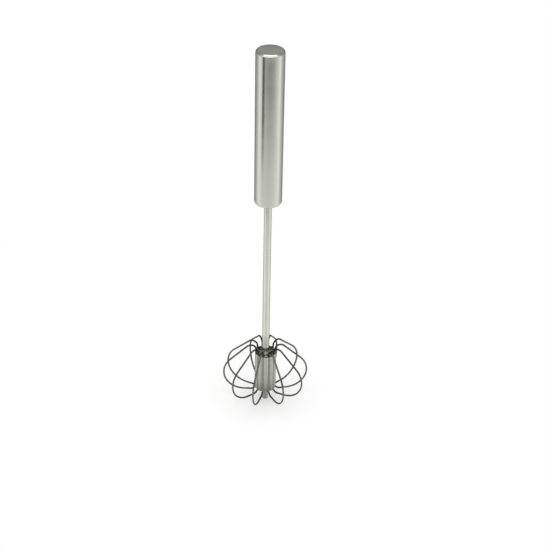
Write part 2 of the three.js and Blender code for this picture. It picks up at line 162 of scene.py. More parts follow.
def rounded(corners, closed=True, steps=8):
    """Outline of (radius, height, fillet) corners, as complex points with each corner rounded."""
    points = []
    for i, (radius, height, fillet) in enumerate(corners):
        here = complex(radius, height)
        if not fillet or (not closed and i in (0, len(corners) - 1)):
            points.append(here)
            continue
        back = complex(*corners[i - 1][:2]) - here
        ahead = complex(*corners[(i + 1) % len(corners)][:2]) - here
        back /= abs(back)
        ahead /= abs(ahead)
        half = abs(cmath.phase(ahead / back)) / 2
        centre = here + (back + ahead) / abs(back + ahead) * fillet / math.sin(half)
        first = here + back * fillet / math.tan(half) - centre
        last = here + ahead * fillet / math.tan(half) - centre
        turn = cmath.phase(last / first)
        points += [centre + first * cmath.exp(1j * turn * k / steps) for k in range(steps + 1)]
    return points


def smooth(mesh):
    """Faces outward and smooth, with the sharp edges marked."""
    shape = bmesh.new()
    shape.from_mesh(mesh)
    bmesh.ops.recalc_face_normals(shape, faces=shape.faces)
    for face in shape.faces:
        face.smooth = True
    for edge in shape.edges:
        edge.smooth = edge.calc_face_angle(0) < SHARP_ANGLE
    shape.to_mesh(mesh)
    shape.free()


def new_piece(name, points, faces, uvs=None):
    """Mesh object from points in millimetres, with an optional (u, v) for each face corner."""
    mesh = bpy.data.meshes.new(name)
    mesh.from_pydata([Vector(p) * MM for p in points], [], faces)
    if uvs:
        layer = mesh.uv_layers.new(name="along")
        for loop, uv in zip(layer.data, uvs):
            loop.uv = uv
    smooth(mesh)
    piece = bpy.data.objects.new(name, mesh)
    bpy.context.scene.collection.objects.link(piece)
    return piece


def turned(name, profile, segments, closed=True):
    """Solid of revolution about the axis. An open profile starts and ends on the axis."""
    points, rows = [], []
    for p in profile:
        count = segments if p.real > ON_AXIS else 1
        rows.append([len(points) + i % count for i in range(segments)])
        for i in range(count):
            spot = p.real * cmath.exp(2j * math.pi * i / count)
            points.append((spot.real, spot.imag, p.imag))
    pairs = list(zip(rows, rows[1:] + rows[:1])) if closed else list(zip(rows, rows[1:]))
    faces = []
    for low, high in pairs:
        for i in range(segments):
            j = (i + 1) % segments
            corners = list(dict.fromkeys((low[i], low[j], high[j], high[i])))
            if len(corners) > 2:
                faces.append(corners)
    return new_piece(name, points, faces)


def spindle(name, corners, segments=96, steps=8):
    """Turned solid whose outline starts and ends on the axis."""
    return turned(name, rounded(corners, closed=False, steps=steps), segments, closed=False)


def ring(name, corners, segments=128, steps=8):
    """Turned solid round a bore, from a closed outline."""
    return turned(name, rounded(corners, steps=steps), segments)


def swept(name, section, stations):
    """Solid swept by a section of complex points along (point, side, up, scale) stations."""
    sides = len(section)
    points, lengths = [], []
    for i, (point, side, up, scale) in enumerate(stations):
        step = (point - stations[i - 1][0]).length if i else 0
        lengths.append(step + (lengths[-1] if i else 0))
        points += [point + (side * p.real + up * p.imag) * scale for p in section]
    faces, uvs = [list(range(sides))], [(lengths[0], k / sides) for k in range(sides)]
    for i in range(len(stations) - 1):
        for k in range(sides):
            j = (k + 1) % sides
            low, high = i * sides, (i + 1) * sides
            faces.append([low + k, low + j, high + j, high + k])
            uvs += [(lengths[i], k / sides), (lengths[i], (k + 1) / sides)]
            uvs += [(lengths[i + 1], (k + 1) / sides), (lengths[i + 1], k / sides)]
    last = (len(stations) - 1) * sides
    faces.append([last + k for k in range(sides)])
    uvs += [(lengths[-1], k / sides) for k in range(sides)]
    return new_piece(name, points, faces, uvs)


def circle(radius, sides):
    return [radius * cmath.exp(2j * math.pi * k / sides) for k in range(sides)]


def flat_bar(width, thickness, edge):
    x, y = width / 2, thickness / 2
    return rounded([(-x, -y, edge), (x, -y, edge), (x, y, edge), (-x, y, edge)], steps=4)


def waisted_ends(stations, radius, waist=0.6, steps=3):
    """The same stations, drawn in to a waist just behind each of the two cut ends."""
    def end_rings(end, inward):
        heading = (inward[0] - end[0]).normalized()
        rings = []
        for k in range(steps, -1, -1):
            inset = waist * (1 - math.sin(math.pi / 2 * k / steps))
            rings.append((end[0] + heading * (radius * inset), end[1], end[2], 1 - inset))
        return rings

    first, last = end_rings(stations[0], stations[1]), end_rings(stations[-1], stations[-2])
    return first + stations[1:-1] + last[::-1]


def cut(piece, *tools):
    """Takes the tools' solids out of a piece, and removes the tools."""
    for tool in tools:
        change = piece.modifiers.new(tool.name, "BOOLEAN")
        change.object = tool
        change.operation = "DIFFERENCE"
        change.solver = "EXACT"
    evaluated = piece.evaluated_get(bpy.context.evaluated_depsgraph_get())
    solid = bpy.data.meshes.new_from_object(evaluated)
    piece.modifiers.clear()
    piece.data = solid
    smooth(solid)
    for tool in tools:
        bpy.data.objects.remove(tool)
    return piece


# Shapes

def handle_tube():
    return spindle("handle_tube", [
        (0, HANDLE_TOP - HANDLE_WALL, 0),
        (HANDLE_BORE, HANDLE_TOP - HANDLE_WALL, RIM_RADIUS - HANDLE_WALL),
        (HANDLE_BORE, HANDLE_BOTTOM + HANDLE_WALL, LIP_RADIUS - HANDLE_WALL),
        (MOUTH_RADIUS, HANDLE_BOTTOM + HANDLE_WALL, SHEET_EDGE),
        (MOUTH_RADIUS, HANDLE_BOTTOM, SHEET_EDGE),
        (HANDLE_RADIUS, HANDLE_BOTTOM, LIP_RADIUS),
        (HANDLE_RADIUS, HANDLE_TOP, RIM_RADIUS),
        (0, HANDLE_TOP, 0),
    ], segments=160, steps=12)


def mouth_bush():
    bore, neck = SHAFT_RADIUS + RUN_GAP, MOUTH_RADIUS - PRESS_GAP
    shoulder = HANDLE_BOTTOM + HANDLE_WALL + SEAT_GAP
    return ring("mouth_bush", [
        (bore, HANDLE_BOTTOM, BUSH_LEAD),
        (neck, HANDLE_BOTTOM, BUSH_NECK_EDGE),
        (neck, shoulder, 0),
        (HANDLE_RADIUS - LIP_RADIUS, shoulder, BUSH_STEP_EDGE),
        (PLUG_RADIUS, HANDLE_BOTTOM + LIP_RADIUS + SEAT_GAP, FINE_EDGE),
        (PLUG_RADIUS, BUSH_TOP, SOFT_EDGE),
        (bore, BUSH_TOP, SOFT_EDGE),
    ])


def straight(bottom, top):
    """Course along the axis without a twist."""
    return [(UP * height, RIGHT, BACK, 1) for height in (bottom, top)]


def strip_stations(bottom, top, per_turn=96):
    """The strip's course: straight inside the plug, a right-handed twist below it."""
    step = STRIP_LEAD / per_turn
    count = math.ceil((top - bottom) / step)
    stations = []
    for i in range(count + 1):
        height = bottom + (top - bottom) * i / count
        angle = 2 * math.pi * min(height - TWIST_TOP, 0) / STRIP_LEAD
        side = Vector((math.cos(angle), math.sin(angle), 0))
        stations.append((UP * height, side, UP.cross(side), 1))
    return stations


def strip_slot(stations):
    """Tool for the strip's slot, along a course."""
    section = flat_bar(STRIP_WIDTH + 2 * STRIP_GAP, STRIP_THICKNESS + 2 * STRIP_GAP, STRIP_EDGE)
    return swept("slot", section, stations)


def cross_rod(name, radius, length, edge):
    """Rod across the axis along Y, at the pin's height."""
    rod = spindle(name, [
        (0, -length / 2, 0),
        (radius, -length / 2, edge),
        (radius, length / 2, edge),
        (0, length / 2, 0),
    ], segments=32)
    across = Matrix.Rotation(math.pi / 2, 4, "X")
    rod.data.transform(Matrix.Translation(UP * PIN_HEIGHT * MM) @ across)
    return rod


def pin_hole():
    return cross_rod("pin_hole", PIN_RADIUS + PIN_GAP, 2 * HANDLE_RADIUS, 0)


def twisted_strip():
    section = flat_bar(STRIP_WIDTH, STRIP_THICKNESS, STRIP_EDGE)
    return cut(swept("twisted_strip", section, strip_stations(STRIP_BOTTOM, STRIP_TOP)), pin_hole())


def anchor_plug():
    plug = spindle("anchor_plug", [
        (0, ANCHOR_BOTTOM, 0),
        (NOSE_RADIUS, ANCHOR_BOTTOM, NOSE_EDGE),
        (NOSE_RADIUS, UPPER_SEAT, PLAIN_EDGE),
        (PLUG_RADIUS, UPPER_SEAT, PLAIN_EDGE),
        (PLUG_RADIUS, ANCHOR_TOP, RIM_RADIUS),
        (0, ANCHOR_TOP, 0),
    ])
    return cut(plug, strip_slot(straight(ANCHOR_BOTTOM - CUT_PAST, SLOT_TOP)), pin_hole())


def turning_nut():
    socket, skirt = SHAFT_RADIUS + PRESS_GAP, SHAFT_RADIUS + NUT_SKIRT_WALL
    nut = spindle("turning_nut", [
        (0, NUT_SHOULDER, 0),
        (socket, NUT_SHOULDER, 0),
        (socket, NUT_BOTTOM, FINE_EDGE),
        (skirt, NUT_BOTTOM, FINE_EDGE),
        (skirt, NUT_SHOULDER, PLAIN_EDGE),
        (NUT_HEAD_RADIUS, NUT_SHOULDER, SOFT_EDGE),
        (NUT_HEAD_RADIUS, NUT_TOP, SOFT_EDGE),
        (0, NUT_TOP, 0),
    ])
    return cut(nut, strip_slot(strip_stations(NUT_SHOULDER - NUT_CUT_PAST, NUT_TOP + NUT_CUT_PAST)))


def spring_seat():
    flange = HANDLE_BORE - RUN_GAP
    return ring("spring_seat", [
        (PASSAGE_RADIUS, COLLAR_BOTTOM, FINE_EDGE),
        (flange, COLLAR_BOTTOM, PLAIN_EDGE),
        (flange, LOWER_SEAT, PLAIN_EDGE),
        (NOSE_RADIUS, LOWER_SEAT, PLAIN_EDGE),
        (NOSE_RADIUS, COLLAR_TOP, NOSE_EDGE),
        (PASSAGE_RADIUS, COLLAR_TOP, PLAIN_EDGE),
    ], segments=96)


def steel_washer():
    return ring("steel_washer", [
        (PASSAGE_RADIUS, WASHER_BOTTOM, WASHER_BORE_EDGE),
        (WASHER_RADIUS, WASHER_BOTTOM, WASHER_EDGE),
        (WASHER_RADIUS, WASHER_TOP, WASHER_EDGE),
        (PASSAGE_RADIUS, WASHER_TOP, WASHER_BORE_EDGE),
    ], segments=96, steps=4)


def coil_spring(steps=48):
    """Compression spring with one closed turn at each end."""
    low = LOWER_SEAT + SEAT_GAP + SPRING_WIRE / 2
    high = UPPER_SEAT - SEAT_GAP - SPRING_WIRE / 2
    open_turns = SPRING_CURLS - 2
    pitch = (high - low - 2 * SPRING_END_PITCH) / open_turns

    def height(turn):
        opened = min(max(turn - 1, 0), open_turns)
        return low + opened * pitch + (turn - opened) * SPRING_END_PITCH

    spots = []
    for i in range(SPRING_CURLS * steps + 1):
        turn = i / steps
        out = Vector((math.cos(2 * math.pi * turn), math.sin(2 * math.pi * turn), 0))
        spots.append((out * SPRING_RADIUS + UP * height(turn), out))
    stations = []
    for i, (spot, out) in enumerate(spots):
        heading = spots[min(i + 1, len(spots) - 1)][0] - spots[max(i - 1, 0)][0]
        stations.append((spot, out, heading.normalized().cross(out), 1))
    section = circle(SPRING_WIRE / 2, sides=12)
    return swept("coil_spring", section, waisted_ends(stations, SPRING_WIRE / 2))


def shaft():
    return ring("shaft", [
        (SHAFT_BORE, HUB_BOTTOM, TUBE_BORE_EDGE),
        (SHAFT_RADIUS, HUB_BOTTOM, TUBE_EDGE),
        (SHAFT_RADIUS, NUT_SHOULDER - SEAT_GAP, TUBE_EDGE),
        (SHAFT_BORE, NUT_SHOULDER - SEAT_GAP, TUBE_BORE_EDGE),
    ], steps=4)


def tip_rod():
    return spindle("tip_rod", [
        (0, 0, 0),
        (TIP_RADIUS, 0, TIP_EDGE),
        (TIP_RADIUS, TIP_TOP, PLAIN_EDGE),
        (0, TIP_TOP, 0),
    ], steps=10)


def core_slot(i, steps=12):
    """Round-bottomed slot behind one groove, open outwards."""
    arc = [cmath.exp(1j * math.pi * (0.5 + k / steps)) for k in range(steps + 1)]
    bottom = [SLOT_CENTRE + SLOT_RADIUS * p for p in arc]
    mouth = [complex(HUB_RADIUS, -SLOT_RADIUS), complex(HUB_RADIUS, SLOT_RADIUS)]
    turn = cmath.exp(2j * math.pi * i / LOOP_COUNT)
    section = [p * turn for p in bottom + mouth]
    return swept(f"core_slot_{i}", section, straight(HUB_BOTTOM - CUT_PAST, HUB_TOP))


def hub_collar():
    collar = ring("hub_collar", [
        (CORE_BORE, HUB_BOTTOM, FINE_EDGE),
        (CORE_RADIUS, HUB_BOTTOM, PLAIN_EDGE),
        (CORE_RADIUS, CORE_TOP, SOFT_EDGE),
        (CORE_BORE, CORE_TOP, PLAIN_EDGE),
    ])
    return cut(collar, *[core_slot(i) for i in range(LOOP_COUNT)])


def flute_outline(groove, lobe, steps=14):
    """Sheet outline round the hub: groove and lobe arcs in turn, joined where their circles meet."""
    pitch = 2 * math.pi / LOOP_COUNT
    lobe_centre = LOBE_CENTRE * cmath.exp(0.5j * pitch)
    across = lobe_centre - LEG_RADIUS
    apart, bearing = abs(across), cmath.phase(across) % (2 * math.pi)
    opening = math.acos((groove ** 2 + apart ** 2 - lobe ** 2) / (2 * groove * apart))
    bulge = math.acos((lobe ** 2 + apart ** 2 - groove ** 2) / (2 * lobe * apart))
    groove_end, lobe_end = bearing - opening, bearing - math.pi + bulge
    flute = []
    for k in range(steps + 1):
        angle = 2 * math.pi - groove_end + (2 * groove_end - 2 * math.pi) * k / steps
        flute.append(LEG_RADIUS + groove * cmath.exp(1j * angle))
    for k in range(1, steps):
        angle = lobe_end + (pitch - 2 * lobe_end) * k / steps
        flute.append(lobe_centre + lobe * cmath.exp(1j * angle))
    return [p * cmath.exp(1j * pitch * i) for i in range(LOOP_COUNT) for p in flute]


def fluted_sleeve(edge_steps=6):
    """Fluted sheet with half-round cut edges at the top and bottom."""
    outer = flute_outline(GROOVE_RADIUS, LOBE_RADIUS)
    inner = flute_outline(FOLD_RADIUS, LOBE_RADIUS - SLEEVE_SHEET)
    half = SLEEVE_SHEET / 2
    rings = []
    for k in range(edge_steps + 1):
        angle = math.pi * k / edge_steps
        rings.append(((1 - math.cos(angle)) / 2, HUB_TOP - half + half * math.sin(angle)))
    for k in range(edge_steps + 1):
        angle = math.pi * k / edge_steps
        rings.append(((1 + math.cos(angle)) / 2, HUB_BOTTOM + half - half * math.sin(angle)))
    points = []
    for share, height in rings:
        for a, b in zip(outer, inner):
            spot = a + (b - a) * share
            points.append((spot.real, spot.imag, height))
    count, faces = len(outer), []
    for i in range(len(rings)):
        low, high = i * count, (i + 1) % len(rings) * count
        for k in range(count):
            j = (k + 1) % count
            faces.append([low + k, low + j, high + j, high + k])
    return new_piece("fluted_sleeve", points, faces)


def line_heading(a, b):
    """Heading of the line that runs from one circle to the next, with both on its right."""
    apart = math.hypot(b[0] - a[0], b[1] - a[1])
    return math.atan2(b[1] - a[1], b[0] - a[0]) - math.asin((a[2] - b[2]) / apart)


def loop_stations(angle, lean, bend_step=5):
    """One wire's course: up its leg, round three arcs in steps of some degrees and back up the leg."""
    circles = (TOP_BEND, BELLY, LOW_BEND)
    up = math.pi / 2
    headings = [up, line_heading(TOP_BEND, BELLY), line_heading(BELLY, LOW_BEND), up - 2 * math.pi]
    course = [(0, HUB_MIDDLE + WIRE_WELD / 2, up)]
    for i, (x, z, radius) in enumerate(circles):
        steps = math.ceil(math.degrees(headings[i] - headings[i + 1]) / bend_step)
        for k in range(steps + 1):
            heading = headings[i] + (headings[i + 1] - headings[i]) * k / steps
            course.append((x - radius * math.sin(heading), z + radius * math.cos(heading), heading))
    course.append((0, HUB_MIDDLE - WIRE_WELD / 2, up))
    out = Vector((math.cos(angle + lean), math.sin(angle + lean), 0))
    leg = Vector((math.cos(angle), math.sin(angle), 0)) * LEG_RADIUS
    across = UP.cross(out)
    stations = []
    for x, z, heading in course:
        side = UP * math.cos(heading) - out * math.sin(heading)
        stations.append((leg + out * x + UP * z, side, across, 1))
    return stations


def wire_loop(i):
    angle = 2 * math.pi * i / LOOP_COUNT
    stations = loop_stations(angle, math.radians(LOOP_LEAN[i]))
    return swept(f"wire_loop_{i + 1:02d}", circle(WIRE_RADIUS, sides=16), stations)


# Finishes

# Stretch of the noise for each grain: turned or polished, drawn or pressed, along a wire, and moulded
LATHE_SCALE, DRAW_SCALE = (40, 40, 9000), (5000, 5000, 60)
WIRE_SCALE, FLOW_SCALE = (0.05, 14, 1), (90, 90, 30)

# The part of a noise's range that each use takes in
TONE_SPAN, GLOSS_SPAN, HAZE_SPAN = (0.3, 0.7), (0.25, 0.75), (0.45, 0.75)
FLOW_SPAN, SKIN_SPAN = (0.35, 0.65), (0.3, 0.7)

# Steel: darkest and lightest tone, the grain's share in it, and how grain and smudges change the gloss
STEEL_TONES, GRAIN_SHARE, GLOSS_SWING, SMUDGE_HAZE = (0.92, 1.06), 0.45, 0.04, 0.1

# The steel's relief, the specks' share in it, and the turn of its stretched highlights
STEEL_RELIEF, SPECK_SHARE, STRETCH_TURN = {"Strength": 0.12, "Distance": 0.00004}, 0.4, 0.25

# A polished part of a piece: what is left of its roughness, and the millimetres that the change takes
POLISH, POLISH_FADE = 0.4, 0.5

# Nylon: tones, roughness, relief and depth of the light in it
NYLON_TONES, NYLON_ROUGHNESS = (0.93, 1.03), (0.42, 0.56)
NYLON_RELIEF = {"Strength": 0.15, "Distance": 0.00005}
NYLON_DEPTH = {"Subsurface Weight": 0.15, "Subsurface Scale": 0.002}

# Darkening laid on by masks: its tone, its share in slots and flutes, and where it ends in the flutes,
# from the wires' legs. In the flutes it is dirt and painted shade, at the wires' roots painted shade.
DARKENED_TONE, CORE_DARKENING_SHARE, FLUTE_DIRT_AND_SHADE = 0.1, 0.2, 0.45
FLUTE_DARK_FROM, FLUTE_DARK_TO, FLUTE_DARK_WAVER = -0.4, 0.9, 0.6

# Film on the wires, with painted shade at their roots by the hub: share on the legs, share past the
# roots, reach of the roots, and the fade past them
LEG_FILM, FILM_SHARE, SHADED_ROOT_REACH, ROOT_SHADE_FADE = 0.35, 0.73, 12.5, 6.0

# Millimetres that a finish takes to change at the hub's ends and at its outside
HUB_END_FADE, HUB_SIDE_FADE = 0.5, 1.0


class Finish:
    """The node tree of a material or a world, with short calls to add nodes."""

    def __init__(self, name, kind="materials"):
        self.owner = getattr(bpy.data, kind).new(name)
        self.owner.use_nodes = True
        self.tree = self.owner.node_tree
        self.tree.nodes.clear()

    def add(self, kind, inputs=None, **settings):
        node = self.tree.nodes.new(kind)
        for key, value in settings.items():
            setattr(node, key, value)
        for key, value in (inputs or {}).items():
            if isinstance(value, bpy.types.NodeSocket):
                self.tree.links.new(value, node.inputs[key])
            else:
                node.inputs[key].default_value = value
        return node

    def math(self, operation, a, b=0.0):
        return self.add("ShaderNodeMath", {0: a, 1: b}, operation=operation).outputs[0]

    def spread(self, value, low, high, to_low, to_high):
        return self.add("ShaderNodeMapRange", {
            "Value": value, "From Min": low, "From Max": high, "To Min": to_low, "To Max": to_high,
        }).outputs[0]

    def place(self):
        return self.add("ShaderNodeTexCoord").outputs["Object"]

    def parts(self, vector):
        return self.add("ShaderNodeSeparateXYZ", {0: vector}).outputs

    def scaled(self, vector, scale):
        return self.add("ShaderNodeMapping", {"Vector": vector, "Scale": scale}).outputs[0]

    def noise(self, vector, scale=1.0, detail=4.0, roughness=0.55):
        return self.add("ShaderNodeTexNoise", {
            "Vector": vector, "Scale": scale, "Detail": detail, "Roughness": roughness,
        }).outputs[0]

    def mix(self, share, a, b):
        return self.add("ShaderNodeMix", {0: share, 2: a, 3: b}).outputs[0]

    def blend(self, share, a, b):
        """The same as mix, for colours."""
        return self.add("ShaderNodeMix", {0: share, 6: a, 7: b}, data_type="RGBA").outputs[2]

    def ramp(self, value, stops):
        """Grey level that runs through (value, level) stops."""
        low, high = stops[0][0], stops[-1][0]
        node = self.add("ShaderNodeValToRGB", {0: self.spread(value, low, high, 0.0, 1.0)})
        elements = node.color_ramp.elements
        while len(elements) < len(stops):
            elements.new(1.0)
        for element, (at, level) in zip(elements, stops):
            element.position = (at - low) / (high - low)
            element.color = (level, level, level, 1)
        return node.outputs[0]

    def surface(self, shader, output="ShaderNodeOutputMaterial"):
        self.add(output, {"Surface": shader.outputs[0]})
        return self.owner


def shade(colour, factor):
    return (*[c * factor for c in colour], 1)


def axis_distance(finish):
    flat = finish.scaled(finish.place(), (1, 1, 0))
    return finish.add("ShaderNodeVectorMath", {0: flat}, operation="LENGTH").outputs["Value"]


def lathe_grain(finish):
    """Fine rings left by turning or polishing round the axis."""
    return finish.noise(finish.scaled(finish.place(), LATHE_SCALE))


def draw_grain(finish):
    """Fine lines along the axis, left by drawing a tube or pressing a sheet."""
    return finish.noise(finish.scaled(finish.place(), DRAW_SCALE))


def wire_grain(finish):
    """Fine lines along a wire, left by its die."""
    along = finish.add("ShaderNodeUVMap", uv_map="along").outputs[0]
    return finish.noise(finish.scaled(along, WIRE_SCALE))


def steel(name, colour, roughness, grain, stretch=0.0, smudge=1.0, dark_mask=None, polished_above=None):
    """Stainless steel: grain in the gloss and relief, hand smudges, and a darker tone where a mask says
    so, which in places is painted shade.
    """
    finish = Finish(name)
    lines = grain(finish)
    cloud = finish.noise(finish.place(), scale=70.0, detail=5.0, roughness=0.6)
    speck = finish.noise(finish.place(), scale=900.0, detail=2.0)

    streaks = finish.math("MULTIPLY", lines, GRAIN_SHARE)
    tone = finish.math("ADD", streaks, finish.math("MULTIPLY", cloud, 1 - GRAIN_SHARE))
    tones = [shade(colour, t) for t in STEEL_TONES]
    shown = finish.blend(finish.spread(tone, *TONE_SPAN, 0, 1), *tones)
    # Darker tone from the mask: dirt and painted shade in the flutes, film with painted shade at the
    # wires' roots, and darker towards the outside of the core
    if dark_mask:
        shown = finish.blend(dark_mask(finish), shown, shade(colour, DARKENED_TONE))

    gloss = finish.spread(lines, *GLOSS_SPAN, roughness - GLOSS_SWING, roughness + GLOSS_SWING)
    rough = finish.math("ADD", gloss, finish.spread(cloud, *HAZE_SPAN, 0.0, SMUDGE_HAZE * smudge))
    if polished_above:
        height = finish.parts(finish.place())["Z"]
        full = polished_above + POLISH_FADE
        left = finish.spread(height, polished_above * MM, full * MM, 1.0, POLISH)
        rough = finish.math("MULTIPLY", rough, left)

    relief = finish.math("ADD", lines, finish.math("MULTIPLY", speck, SPECK_SHARE))
    shader = finish.add("ShaderNodeBsdfPrincipled", {
        "Base Color": shown,
        "Metallic": 1.0,
        "Roughness": rough,
        "Normal": finish.add("ShaderNodeBump", {"Height": relief, **STEEL_RELIEF}).outputs[0],
        "Anisotropic": stretch,
        "Anisotropic Rotation": STRETCH_TURN,
    })
    if stretch:
        tangent = finish.add("ShaderNodeTangent", direction_type="RADIAL", axis="Z")
        finish.tree.links.new(tangent.outputs[0], shader.inputs["Tangent"])
    return finish.surface(shader)


def flute_dirt_and_shade(finish):
    """Dirt and painted shade, darker towards the bottom of the flutes."""
    cloud = finish.noise(finish.place(), scale=300.0)
    waver = finish.math("MULTIPLY", cloud, FLUTE_DARK_WAVER * MM)
    edge = finish.math("ADD", axis_distance(finish), waver)
    low, high = (LEG_RADIUS + FLUTE_DARK_FROM) * MM, (LEG_RADIUS + FLUTE_DARK_TO) * MM
    return finish.spread(edge, low, high, FLUTE_DIRT_AND_SHADE, 0.0)


def past_hub(finish):
    """0 between the hub's ends and 1 above and below it."""
    height = finish.parts(finish.place())["Z"]
    off = finish.math("ABSOLUTE", finish.math("SUBTRACT", height, HUB_MIDDLE * MM))
    half = HUB_HEIGHT / 2
    return finish.spread(off, (half - HUB_END_FADE) * MM, (half + HUB_END_FADE) * MM, 0.0, 1.0)


def wire_film_and_root_shade(finish):
    """Darker film on the wires: heaviest at their roots, where it is painted shade, and light on the
    legs that lie in the grooves.
    """
    distance = axis_distance(finish)
    outside = finish.spread(distance, HUB_RADIUS * MM, (HUB_RADIUS + HUB_SIDE_FADE) * MM, LEG_FILM, 1.0)
    film_and_root_shade = finish.spread(distance, SHADED_ROOT_REACH * MM, (SHADED_ROOT_REACH + ROOT_SHADE_FADE) * MM, 1.0, FILM_SHARE)
    return finish.math("MULTIPLY", finish.math("MAXIMUM", past_hub(finish), outside), film_and_root_shade)


def core_darkening(finish):
    """Darker towards the outside of the core, in its slots and round its teeth, between the hub's ends.
    """
    floor = (CORE_BORE + SLOT_FLOOR) * MM
    outer_darkening = finish.spread(axis_distance(finish), floor, SLOT_CENTRE * MM, 0.0, CORE_DARKENING_SHARE)
    return finish.math("MULTIPLY", outer_darkening, finish.math("SUBTRACT", 1.0, past_hub(finish)))


def plastic(name, colour):
    """Moulded nylon: faint flow marks and a fine eggshell skin."""
    finish = Finish(name)
    flow = finish.noise(finish.scaled(finish.place(), FLOW_SCALE), detail=5.0)
    skin = finish.noise(finish.place(), scale=2500.0, detail=2.0)
    tones = [shade(colour, t) for t in NYLON_TONES]
    shader = finish.add("ShaderNodeBsdfPrincipled", {
        "Base Color": finish.blend(finish.spread(flow, *FLOW_SPAN, 0, 1), *tones),
        "Roughness": finish.spread(skin, *SKIN_SPAN, *NYLON_ROUGHNESS),
        "Normal": finish.add("ShaderNodeBump", {"Height": skin, **NYLON_RELIEF}).outputs[0],
        **NYLON_DEPTH,
    })
    return finish.surface(shader)


FINISHES = {
    "handle_steel": steel("handle_steel", (0.65, 0.66, 0.595), 0.18, lathe_grain, stretch=0.4,
                          polished_above=HANDLE_TOP - RIM_RADIUS),
    "polished_steel": steel("polished_steel", (0.675, 0.685, 0.61), 0.14, draw_grain, smudge=0.5),
    # The hub's flutes: dirt and painted shade towards their bottom
    "hub_steel": steel("hub_steel", (0.5, 0.51, 0.445), 0.27, draw_grain, dark_mask=flute_dirt_and_shade),
    # The wires: film, with painted shade at their roots by the hub
    "wire_steel": steel("wire_steel", (0.5, 0.51, 0.425), 0.16, wire_grain, smudge=0.5, dark_mask=wire_film_and_root_shade),
    "plain_steel": steel("plain_steel", (0.58, 0.58, 0.55), 0.38, lathe_grain, dark_mask=core_darkening),
    "spring_steel": steel("spring_steel", (0.36, 0.36, 0.37), 0.32, wire_grain),
    "nylon": plastic("nylon", (0.80, 0.79, 0.74)),
}
BODIES = frame["record"]["behaviour"]["bodies"]
BODY_OF = {node: body for body, nodes in BODIES.items() for node in nodes}


def stand_for(node, piece, slot):
    """The piece takes a CAD node's place, on its body and in its finish."""
    piece.data.materials.clear()
    piece.data.materials.append(FINISHES[slot])
    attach(piece, BODY_OF[node])
    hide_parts(node)
    return piece


stand_for("handle_shell", handle_tube(), "handle_steel")
stand_for("guide_bush", mouth_bush(), "nylon")
stand_for("strip_anchor", anchor_plug(), "nylon")
stand_for("anchor_pin", cross_rod("cross_pin", PIN_RADIUS, PIN_LENGTH, PIN_EDGE), "spring_steel")
stand_for("drive_strip", twisted_strip(), "spring_steel")
spring = stand_for("return_spring", coil_spring(), "spring_steel")
stand_for("spring_collar", spring_seat(), "nylon")
stand_for("thrust_washer", steel_washer(), "plain_steel")
stand_for("drive_nut", turning_nut(), "nylon")
stand_for("shaft_tube", shaft(), "polished_steel")
stand_for("hub_core", hub_collar(), "plain_steel")
stand_for("hub_sleeve", fluted_sleeve(), "hub_steel")
for loop in range(LOOP_COUNT):
    stand_for(f"whisk_wire_{loop + 1:02d}", wire_loop(loop), "wire_steel")
stand_for("pivot_tip", tip_rod(), "polished_steel")

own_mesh(spring)


# Studio, in metres

CAMERA_PLACE = Vector((-0.0479, -0.8488, 0.7113))
CAMERA_HEADING, CAMERA_PITCH, CAMERA_ROLL = (math.radians(a) for a in (-3.712, 33.942, -1.203))
CAMERA_LENS, CAMERA_SENSOR = 76.557, 36.0

# Floor, and how it runs out into white: two distances from the axis, and the share of white at each
FLOOR_REACH, FLOOR_COLOUR, WHITE = 40.0, (0.97, 0.97, 0.965, 1), (1, 1, 1, 1)
FLOOR_WHITE = (0.05, 0.4, 0.5, 1.0)

SOFTBOX = {"size": 2.4, "energy": 36.0, "place": (0, -0.3, 1.6)}
ROOM_FILL = 0.28

# Levels of the floor cards by angle from the camera's side: close to the whisk, near to it and far off
CLOSE_CARDS = (
    (0, 0.80), (40, 0.88), (65, 1.13), (80, 1.10), (94, 0.77), (116, 0.62), (140, 0.44), (180, 0.36),
)
NEAR_CARDS = (
    (0, 0.78), (45, 0.82), (65, 0.92), (85, 1.10), (110, 0.66), (140, 0.32), (180, 0.26),
)
FAR_CARDS = (
    (0, 0.32), (25, 0.41), (41, 0.57), (58, 0.78), (84, 1.12), (106, 0.60), (140, 0.28), (180, 0.22),
)
CLOSE_BLEND, FAR_BLEND = (0.24, 0.36), (0.40, 0.75)
CARD_REACH, CARD_LIFT = 15.0, 0.0005

# Dimmer floor cards under the head, by distance from the axis
HEAD_SHADE = ((0.0, 0.36), (0.016, 0.42), (0.034, 0.9), (0.05, 1.0))

# Dark strip in the floor cards: its angle, the reach of its soft sides, its level and where it starts
DARK_ANGLE, DARK_SIDES, DARK_LEVEL, DARK_START = -50, (5, 15), 0.12, (0.42, 0.55)

OVERHEAD_CARD = {
    "corners": ((-0.8, -1.7), (0.8, -1.7), (0.8, 0.15), (-0.8, 0.15)),
    "height": 1.6,
    "level": 1.9,
}
FRONT_CARD = {"fade": (50, 80), "distance": 0.1, "heights": (0.357, 0.48), "level": 1.15}
WIDE_CARD = {"fade": (66, 110), "distance": 0.105, "heights": (0.356, 0.48), "level": 0.55}
DOME = {
    "stops": ((0.0, 0.25), (0.2, 0.2), (0.4, 0.38), (0.5, 0.38), (0.75, 0.34), (1.0, 0.34)),
    "radius": 39.0,
}


